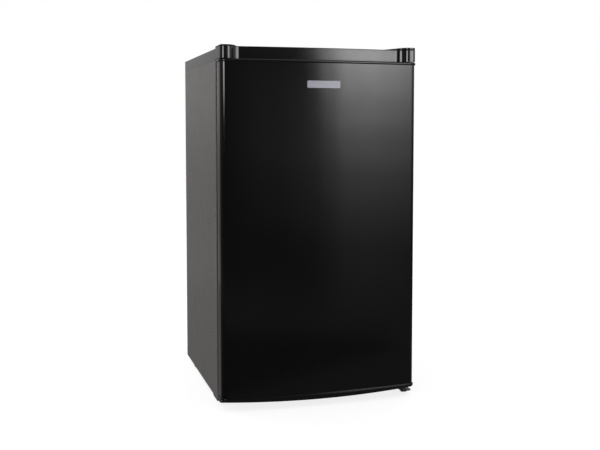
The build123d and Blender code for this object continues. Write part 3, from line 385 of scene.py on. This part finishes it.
def door_panel():
    """The folded steel sheet of the door: bowed front, rounded corners, sides and rear flanges."""
    rear = at(-GASKET_GAP)
    fold = FOLD
    flange = HALF_W - FLANGE

    def section(grow, rear_y, tip):
        path = door_outline(grow, rear_y)
        side = HALF_W + grow
        path[0] = (-side, rear_y - fold)
        path[-1] = (side, rear_y - fold)
        bend = [(side - fold + fold * math.cos(a), rear_y - fold + fold * math.sin(a))
                for a in (math.radians(30), math.radians(60), math.radians(90))]
        return [(-tip, rear_y)] + [(-x, y) for x, y in bend[::-1]] + path + bend + [(tip, rear_y)]

    outer = section(0.0, rear, flange)
    inner = section(-SHEET, rear - SHEET, flange)
    loop = outer + inner[::-1]
    build = Build()
    levels = [SKIN_LO.z + (SKIN_HI.z - SKIN_LO.z) * i / 24 for i in range(25)]
    rings = [build.ring([(x, y, z) for x, y in loop]) for z in levels]
    build.skin(rings)
    count = len(outer)
    for end in (rings[0], rings[-1]):
        for i in range(count - 1):
            build.faces.append((end[i], end[i + 1], end[2 * count - 2 - i], end[2 * count - 1 - i]))
    return add_piece("door_panel", build.verts, build.faces, "door", made["door_paint"],
                     ("door_skin",), sharp=40)


CAP_TUCK = 2.0 * MM                        # how far a cap's flat face reaches in over the sheet
LID_CURVE, LID_UNDER = 3.4 * MM, 2.2 * MM  # radii of the upper cap's edge, above and below
SOLE_CURVE, SOLE_OVER = 4.0 * MM, 0.5 * MM  # radii of the lower cap's edge, below and above
SOLE_BELLY = 7.0 * MM                      # how much lower the lower cap hangs in the middle
POCKET_HALF = 130 * MM
POCKET_LIP = 4 * MM
POCKET_REAR = -40                          # depth behind the cabinet's front, as for at()
POCKET_WALL = 1.5 * MM
POCKET_EDGE = 1.2 * MM                     # radius of the pocket's mouth
BUSH_HOLE = 7.1 * MM


def cap_rings(build, levels):
    """Rings of the door's plan at (z function, grow) levels, each closed across the rear."""
    rings = []
    for height, grow in levels:
        outline = door_outline(grow, at(-GASKET_GAP))
        rings.append(build.ring([(x, y, height(x)) for x, y in outline]))
    return rings


def door_cap_upper():
    """The moulded upper end of the door: a lip that stands out all round, and the finger pocket behind it."""
    lip, low, high = CAP_LIP, SKIN_HI.z, CAP_HI.z
    top_r, low_r = LID_CURVE, LID_UNDER
    levels = [(low, -CAP_TUCK), (low, lip - low_r)]
    levels += [(low + low_r * (1 - cos_of(a)), lip - low_r * (1 - sin_of(a))) for a in (30, 60, 90)]
    levels += [(high - top_r * (1 - sin_of(a)), lip - top_r * (1 - cos_of(a))) for a in range(0, 91, 15)]
    build = Build()
    rings = cap_rings(build, [((lambda x, z=z: z), grow) for z, grow in levels])
    build.skin(rings)
    floor, wall, edge = CAP_LO.z, POCKET_WALL, POCKET_EDGE

    def pocket(grow, z, radius):
        """The pocket's plan, whose front follows the door's bow."""
        inset = wall - grow
        half = POCKET_HALF - inset
        rear = at(POCKET_REAR) - inset
        side = HALF_W - POCKET_LIP - inset
        bend = (side ** 2 + DOOR_BOW ** 2) / (2 * DOOR_BOW)
        centre = at(-DOOR_EDGE) + POCKET_LIP + inset - DOOR_BOW + bend
        points = []
        for i in range(25):
            x = (half - radius) * (i / 12 - 1)
            points.append((x, centre - math.sqrt(bend ** 2 - x ** 2)))
        cx, cy = points[-1][0], points[-1][1] + radius
        corner = [(radius * sin_of(a), -radius * cos_of(a)) for a in (22.5, 45, 67.5, 90)]
        points += [(cx + dx, cy + dy) for dx, dy in corner]
        points += [(cx + dx, rear - radius - dy) for dx, dy in corner[::-1]] + [(cx, rear)]
        points += [(-cx, rear)] + [(-cx - dx, rear - radius - dy) for dx, dy in corner]
        points += [(-cx - dx, cy + dy) for dx, dy in corner[::-1]]
        return build.ring([(px, py, z) for px, py in points])

    mouth = [pocket(edge * (1 - sin_of(a)), high - edge * (1 - cos_of(a)), 4 * MM) for a in (0, 30, 60, 90)]
    inside = mouth + [pocket(0, floor + 4 * MM, 4 * MM), pocket(-1.2 * MM, floor + 2.0 * MM, 3.2 * MM),
                      pocket(-3 * MM, floor + wall, 2.5 * MM)]
    build.skin(inside)
    build.plate(inside[-1])
    outside = [pocket(wall, low, 5 * MM), pocket(wall, floor + 1 * MM, 5 * MM),
               pocket(wall - 1 * MM, floor, 4 * MM)]
    build.skin(outside)
    build.plate(outside[-1])
    bush_lo, bush_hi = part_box("hinge_bushes")
    bush = (bush_lo + bush_hi) / 2
    hole = [build.ring(circle(bush.x, bush.y, z, BUSH_HOLE)) for z in (high, low)]
    build.skin(hole)
    build.plate(rings[-1], (mouth[0], hole[0]))
    build.plate(rings[0], (outside[0], hole[1]))
    return add_piece("door_cap_upper", build.verts, build.faces, "door", made["black_gloss"],
                     ("door_top_cap",), sharp=38)


def door_cap_lower():
    """The moulded lower end of the door, whose edge hangs lowest in the middle."""
    lip, high = CAP_LIP, SOLE_HI.z
    reach = HALF_W + 10 * MM
    belly = SOLE_BELLY
    swing = (reach ** 2 + belly ** 2) / (2 * belly)

    def lower(x):
        return SOLE_LO.z + swing - math.sqrt(swing ** 2 - x ** 2)

    low_r, top_r = SOLE_CURVE, SOLE_OVER
    levels = [((lambda x, up=low_r * (1 - sin_of(a)): lower(x) + up),
               lip - low_r * (1 - cos_of(a))) for a in range(90, -1, -15)]
    levels += [((lambda x, down=top_r * (1 - sin_of(a)): high - down),
                lip - top_r * (1 - cos_of(a))) for a in (0, 30, 60, 90)]
    levels += [((lambda x: high), -CAP_TUCK)]
    build = Build()
    rings = cap_rings(build, levels)
    build.skin(rings)
    count = len(rings[0])
    for end in (rings[0], rings[-1]):
        for i in range(count // 2 - 1):
            build.faces.append((end[i], end[i + 1], end[count - 2 - i], end[count - 1 - i]))
        if count % 2:
            middle = count // 2
            build.faces.append((end[middle - 1], end[middle], end[middle + 1]))
    return add_piece("door_cap_lower", build.verts, build.faces, "door", made["black_gloss"],
                     ("door_bottom_cap",), sharp=38)


door_panel()
door_cap_upper()
door_cap_lower()

# ============================================================================================================
# Worktop
# ============================================================================================================
BLOCK_FRONT = -61.7
BLOCK_EDGE = HALF_W - 16.2 * MM            # inner end of a corner block's flat front
BLOCK_CORNER = 9 * MM
RECESS = 193.5 * MM                        # half width of the bowed fascia
FASCIA_Y, FASCIA_MIDDLE = at(-48), at(-57)
SHOULDER = ((214.5 * MM, at(-48.3)), (208.5 * MM, at(-61.4)))   # poles of the curve out to a block
SIDE_TOP = SHELL_HI.z + 28.5 * MM
FASCIA_TOP = TOP_HI.z
BLOCK_LOW = CAP_HI.z + 1.2 * MM            # underside of the front, over the door
BED = SHELL_HI.z + 0.1 * MM                # underside of the rest, on the cabinet
WELL_GAP = 0.2 * MM                        # play round the board let into the frame
RIM_FRONT, RIM_SIDE = 1.5 * MM, 1.2 * MM   # radii of the upper edges
SIDE_DEPTHS = (0, 36, 43.8, 90, 150, 210, 270, 330, 390, 428.2)
REAR_X = (120 * MM, 0, -120 * MM)


def bezier(p0, p1, p2, p3, steps):
    points = []
    for i in range(steps):
        t = i / steps
        weights = ((1 - t) ** 3, 3 * t * (1 - t) ** 2, 3 * t * t * (1 - t), t ** 3)
        points.append(tuple(sum(w * p[k] for w, p in zip(weights, (p0, p1, p2, p3))) for k in (0, 1)))
    return points


def worktop_half():
    """Plan points of the right half of the worktop's front, from the middle to the side."""
    radius = (RECESS ** 2 + (FASCIA_Y - FASCIA_MIDDLE) ** 2) / (2 * (FASCIA_Y - FASCIA_MIDDLE))
    top = math.asin(RECESS / radius)
    points = []
    for i in range(49):
        a = top * i / 48
        points.append((radius * math.sin(a), FASCIA_MIDDLE + radius * (1 - math.cos(a))))
    points += bezier(points.pop(), *SHOULDER, (BLOCK_EDGE, at(BLOCK_FRONT)), 26)
    points.append((BLOCK_EDGE, at(BLOCK_FRONT)))
    cx, cy = HALF_W - BLOCK_CORNER, at(BLOCK_FRONT) + BLOCK_CORNER
    for i in range(13):
        a = math.radians(-90 + 90 * i / 12)
        points.append((cx + BLOCK_CORNER * math.cos(a), cy + BLOCK_CORNER * math.sin(a)))
    return points


def inward(points, closed):
    """Unit normals that point to the left of the direction of travel."""
    normals = []
    count = len(points)
    for i in range(count):
        a = points[(i - 1) % count] if closed or i else points[i]
        b = points[(i + 1) % count] if closed or i < count - 1 else points[i]
        dx, dy = b[0] - a[0], b[1] - a[1]
        size = math.hypot(dx, dy)
        normals.append((-dy / size, dx / size))
    return normals


def worktop_surround():
    """The moulded frame round the worktop: raised front with its blocks, side rails and rear rail."""
    half = worktop_half() + [(HALF_W, at(-30)), (HALF_W, at(-0.15))]
    front = [(-x, y) for x, y in half[:0:-1]] + half
    well_x = BOARD_HI.x + WELL_GAP
    well_y = (BOARD_LO.y - WELL_GAP, BOARD_HI.y + WELL_GAP)
    outline = list(front)
    outline += [(HALF_W, at(d)) for d in SIDE_DEPTHS] + [(HALF_W, TOP_HI.y)]
    outline += [(x, TOP_HI.y) for x in (well_x, *REAR_X, -well_x)]
    outline += [(-HALF_W, TOP_HI.y)] + [(-HALF_W, at(d)) for d in SIDE_DEPTHS[::-1]]
    normals = inward(outline, True)
    build = Build()
    columns = []
    for index, ((x, y), (nx, ny)) in enumerate(zip(outline, normals)):
        is_front = index < len(front)
        ix, iy = min(max(x, -well_x), well_x), min(max(y, well_y[0]), well_y[1])
        high = FASCIA_TOP if is_front else SIDE_TOP
        low = BLOCK_LOW if is_front else BED
        soft = RIM_FRONT if is_front else RIM_SIDE

        def toward_well(place_y):
            return x + (ix - x) * (place_y - y) / (iy - y)

        if is_front:
            bed_x, bed_y = toward_well(at(0.3)), at(0.3)
        else:
            bed_x, bed_y = x + (ix - x) * 0.02, y + (iy - y) * 0.02
        column = [(ix, iy, BED), (bed_x, bed_y, BED), (bed_x, bed_y, low), (x, y, low)]
        for a in range(0, 91, 18):
            inset = soft * (1 - cos_of(a))
            column.append((x + nx * inset, y + ny * inset, high - soft * (1 - sin_of(a))))
        if is_front:
            step = toward_well(at(0))
            column += [(step, at(-0.1), high), (step, at(0), high - 0.1 * MM), (step, at(0), SIDE_TOP)]
        else:
            column += [(x + (ix - x) * t, y + (iy - y) * t, high) for t in (0.5, 0.7, 0.9)]
        column += [(ix, iy, SIDE_TOP), (ix, iy, BED)]
        columns.append(build.ring(column))
    build.skin(columns + [columns[0]], closed=False)
    return add_piece("worktop_surround", build.verts, build.faces, "cabinet",
                     made["black_gloss"], ("worktop_frame",), sharp=38, merge=2e-6)


HINGE_RAMP, SPARE_RAMP = 162 * MM, 200 * MM    # where each cover's ramp starts
COVER_FULL = 206 * MM                      # where a cover has its full height
COVER_BACK = at(-0.2)


def corner_cover(name, side, node, start):
    """A low cap on a corner block with a ramp up to it, its rim softened and its foot drawn in a little."""
    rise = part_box(node)[1].z - FASCIA_TOP
    front = [p for p in worktop_half() if p[0] > start - 1 * MM] + [(HALF_W, at(-25)), (HALF_W, COVER_BACK)]
    normals = inward(front, False)
    soft = RIM_FRONT
    build = Build()
    columns = []
    for (x, y), (nx, ny) in zip(front, normals):
        climb = min(max((x - start) / (COVER_FULL - start), 0.03), 1.0)
        low = FASCIA_TOP + 0.05 * MM
        high = FASCIA_TOP + rise * climb
        edge = min(soft, (high - low) * 0.45)
        back_x, back_y = min(x, HALF_W - soft - 0.2 * MM), COVER_BACK
        column = [(back_x, back_y, low), (x + nx * 0.5 * MM, y + ny * 0.5 * MM, low)]
        for a in range(0, 91, 18):
            inset = 0.1 * MM + edge * (1 - cos_of(a))
            column.append((x + nx * inset, y + ny * inset, high - edge * (1 - sin_of(a))))
        column.append((back_x, back_y, high))
        columns.append(build.ring([(side * px, py, pz) for px, py, pz in column]))
    build.skin(columns, closed=True)
    for end in (columns[0], columns[-1]):
        build.faces.append(tuple(end))
    return add_piece(name, build.verts, build.faces, "cabinet", made["black_gloss"],
                     (node,), sharp=38, merge=2e-6)


worktop_surround()
corner_cover("corner_cover_right", 1, "hinge_cover", HINGE_RAMP)
corner_cover("corner_cover_left", -1, "spare_cover", SPARE_RAMP)

# ============================================================================================================
# Room, light and camera
# ============================================================================================================
# What shines in the gloss, as stops of degrees against brightness: across by azimuth, up by elevation.
# Azimuth runs from straight in front of the door towards +X.
HORIZON_RISE = 0.33                        # degrees added to every elevation
HORIZON_TILT = 0.018                       # how much the dim surroundings climb per degree round
AMBIENT = [(-90, 0.03), (-12.9, 0.03), (-12.4, 0.10), (-11, 0.09), (-8.5, 0.045), (-6, 0.03), (0, 0.05),
           (5, 0.07), (30, 0.09), (70, 0.16), (90, 0.5)]
MAT_TILT = 0.09                            # the floor's edge falls off the level by this, up to MAT_END
MAT_END = 40.0
FLOOR_MAT = [(-60, 0.09), (-16.9, 0.065), (-16.2, 0.0)]
# A tall box on the right with a dim glow beside it, a box on the left, a side wall and a wall behind
RIGHT_BOX = [(13.5, 0.0), (16, 0.06), (19, 0.42), (23, 0.92), (28, 1.0), (32, 0.86), (37, 0.66), (42, 0.40),
             (50, 0.20), (60, 0.10), (72, 0.05)]
RIGHT_HEIGHT = [(-12.4, 0.0), (-11, 0.05), (-8.75, 0.1), (-5.3, 0.17), (-3, 0.4), (-0.7, 0.95), (1.6, 2.35),
                (3.5, 4.4), (4.3, 5.5), (5.2, 7.5), (12, 7.5), (20, 1.0)]
GLOW = [(-4, 0.0), (8, 0.3), (16, 0.6), (24, 1.0), (38, 0.9), (50, 0.4), (65, 0.0)]
GLOW_HEIGHT = [(-12, 0.0), (-8, 0.05), (-4, 0.25), (-0.7, 0.45), (2, 0.4), (5, 0.2)]
LEFT_BOX = [(-48, 0.0), (-42, 1.0), (-18, 1.0), (-12, 0.0)]
LEFT_HEIGHT = [(0.2, 0.0), (1.5, 1.0), (2.7, 4.8), (4.5, 8.0), (12, 8.0), (20, 1.0)]
SIDE_WALL = [(55, 0.0), (80, 1.0)]
SIDE_HEIGHT = [(-30, 0.01), (-8, 0.03), (-2, 0.08), (3, 0.18)]
BACK_WALL = [(135, 0.0), (160, 0.50), (169, 0.9), (176, 1.3)]
BACK_HEIGHT = [(-40, 0.05), (-15, 0.10), (-8, 0.09), (-3, 0.10), (4, 0.16)]
# The light on matt surfaces
SOFT = [(-60, 0.7), (0, 0.95), (60, 1.12)]


def studio():
    """Plain soft light all round; what shines in the gloss is a pair of tall boxes and dim walls."""
    world = bpy.data.worlds.new("studio")
    bpy.context.scene.world = world
    world.use_nodes = True
    tree = world.node_tree
    tree.nodes.clear()

    def node(kind, **settings):
        item = tree.nodes.new(kind)
        for key, value in settings.items():
            setattr(item, key, value)
        return item

    def value_of(item, source):
        if isinstance(source, (int, float)):
            item.default_value = source
        else:
            tree.links.new(source, item)

    def sums(kind, *sources):
        item = node("ShaderNodeMath", operation=kind)
        for socket, source in zip(item.inputs, sources):
            value_of(socket, source)
        return item.outputs[0]

    def ramp(source, stops):
        """Piecewise smooth curve through (input, output) stops."""
        result = None
        for (x0, y0), (x1, y1) in zip(stops, stops[1:]):
            item = node("ShaderNodeMapRange", interpolation_type="SMOOTHSTEP")
            value_of(item.inputs["Value"], source)
            for key, value in (("From Min", x0), ("From Max", x1), ("To Min", 0.0), ("To Max", y1 - y0)):
                item.inputs[key].default_value = value
            step = item.outputs["Result"]
            result = step if result is None else sums("ADD", result, step)
        return sums("ADD", result, stops[0][1])

    direction = node("ShaderNodeTexCoord").outputs["Generated"]
    split = node("ShaderNodeSeparateXYZ")
    tree.links.new(direction, split.inputs[0])
    x, y, z = split.outputs
    azimuth = sums("DEGREES", sums("ARCTAN2", x, sums("MULTIPLY", y, -1.0)))
    elevation = sums("ADD", sums("DEGREES", sums("ARCSINE", z)), HORIZON_RISE)
    away = sums("ABSOLUTE", azimuth)

    horizon = sums("ADD", elevation, sums("MULTIPLY", azimuth, HORIZON_TILT))
    ambient = ramp(horizon, AMBIENT)
    mat = ramp(sums("SUBTRACT", elevation, sums("MULTIPLY", sums("MINIMUM", azimuth, MAT_END), MAT_TILT)),
               FLOOR_MAT)
    boxes = [(azimuth, RIGHT_BOX, RIGHT_HEIGHT), (azimuth, GLOW, GLOW_HEIGHT),
             (azimuth, LEFT_BOX, LEFT_HEIGHT), (away, SIDE_WALL, SIDE_HEIGHT), (away, BACK_WALL, BACK_HEIGHT)]
    shine = sums("ADD", ambient, mat)
    for turn, across, up in boxes:
        shine = sums("ADD", shine, sums("MULTIPLY", ramp(turn, across), ramp(elevation, up)))
    soft = ramp(elevation, SOFT)

    rays = node("ShaderNodeLightPath")

    def light():
        item = node("ShaderNodeBackground")
        item.inputs["Color"].default_value = (1.0, 1.0, 1.0, 1.0)
        return item

    shine_light = light()
    value_of(shine_light.inputs["Strength"], shine)
    soft_light = light()
    value_of(soft_light.inputs["Strength"], soft)
    paper = light()
    first = node("ShaderNodeMixShader")
    tree.links.new(rays.outputs["Is Glossy Ray"], first.inputs[0])
    tree.links.new(soft_light.outputs[0], first.inputs[1])
    tree.links.new(shine_light.outputs[0], first.inputs[2])
    second = node("ShaderNodeMixShader")
    tree.links.new(rays.outputs["Is Camera Ray"], second.inputs[0])
    tree.links.new(first.outputs[0], second.inputs[1])
    tree.links.new(paper.outputs[0], second.inputs[2])
    out = node("ShaderNodeOutputWorld")
    tree.links.new(second.outputs[0], out.inputs["Surface"])


FLOOR_REACH = 6.0
FLOOR_DROP = 0.4 * MM                      # the floor lies this far below the feet


def studio_floor():
    """A pale paper floor that glows a little, so that it stays white apart from the contact shadow."""
    corners = ((-1, -1), (1, -1), (1, 1), (-1, 1))
    mesh = bpy.data.meshes.new("studio_floor")
    mesh.from_pydata([(x * FLOOR_REACH, y * FLOOR_REACH, 0) for x, y in corners], [], [(0, 1, 2, 3)])
    floor = bpy.data.objects.new("studio_floor", mesh)
    floor.location.z = -FLOOR_DROP
    bpy.context.scene.collection.objects.link(floor)
    paper = Finish("studio_paper", Roughness=1.0, Specular_IOR_Level=0.0)
    tone = paper.span(paper.noise(3.0), 0.3, 0.7, 0.0, 1.0)
    paper.colour(paper.blend(tone, (0.22, 0.22, 0.22), (0.24, 0.24, 0.24)))
    paper.bsdf.inputs["Emission Color"].default_value = (1, 1, 1, 1)
    paper.bsdf.inputs["Emission Strength"].default_value = 0.82
    mesh.materials.append(paper.material)
    floor.visible_glossy = False


WASH_PLACE, WASH_AIM = Vector((-1.25, 0.95, 0.95)), Vector((-0.24, 0.25, 0.6))


def side_wash():
    """A soft panel beside the cabinet's rear left corner, which lights the side most at the back."""
    lamp = bpy.data.lights.new("side_wash", "AREA")
    lamp.shape = "SQUARE"
    lamp.size = 1.0
    lamp.energy = 6.0
    holder = bpy.data.objects.new("side_wash", lamp)
    holder.location = WASH_PLACE
    holder.rotation_euler = (WASH_AIM - WASH_PLACE).to_track_quat("-Z", "Y").to_euler()
    holder.visible_glossy = False
    holder.visible_camera = False
    bpy.context.scene.collection.objects.link(holder)


CAMERA_PLACE = (-0.6406, -2.2647, 0.6623)
CAMERA_DOWN, CAMERA_TURN = 0.0629, -0.2853     # radians below the horizon, and round to the right


def view():
    """The camera, at the height of the door's upper third and to the left of the middle."""
    lens = bpy.data.cameras.new("camera")
    lens.lens = 53.62
    lens.sensor_width = 36.0
    lens.shift_y = -0.0688
    lens.clip_start = 0.05
    camera = bpy.data.objects.new("camera", lens)
    camera.location = CAMERA_PLACE
    camera.rotation_euler = (math.pi / 2 - CAMERA_DOWN, 0.0, CAMERA_TURN)
    bpy.context.scene.collection.objects.link(camera)
    bpy.context.scene.camera = camera
    bpy.context.scene.view_settings.view_transform = "Standard"


studio()
studio_floor()
side_wash()
view()
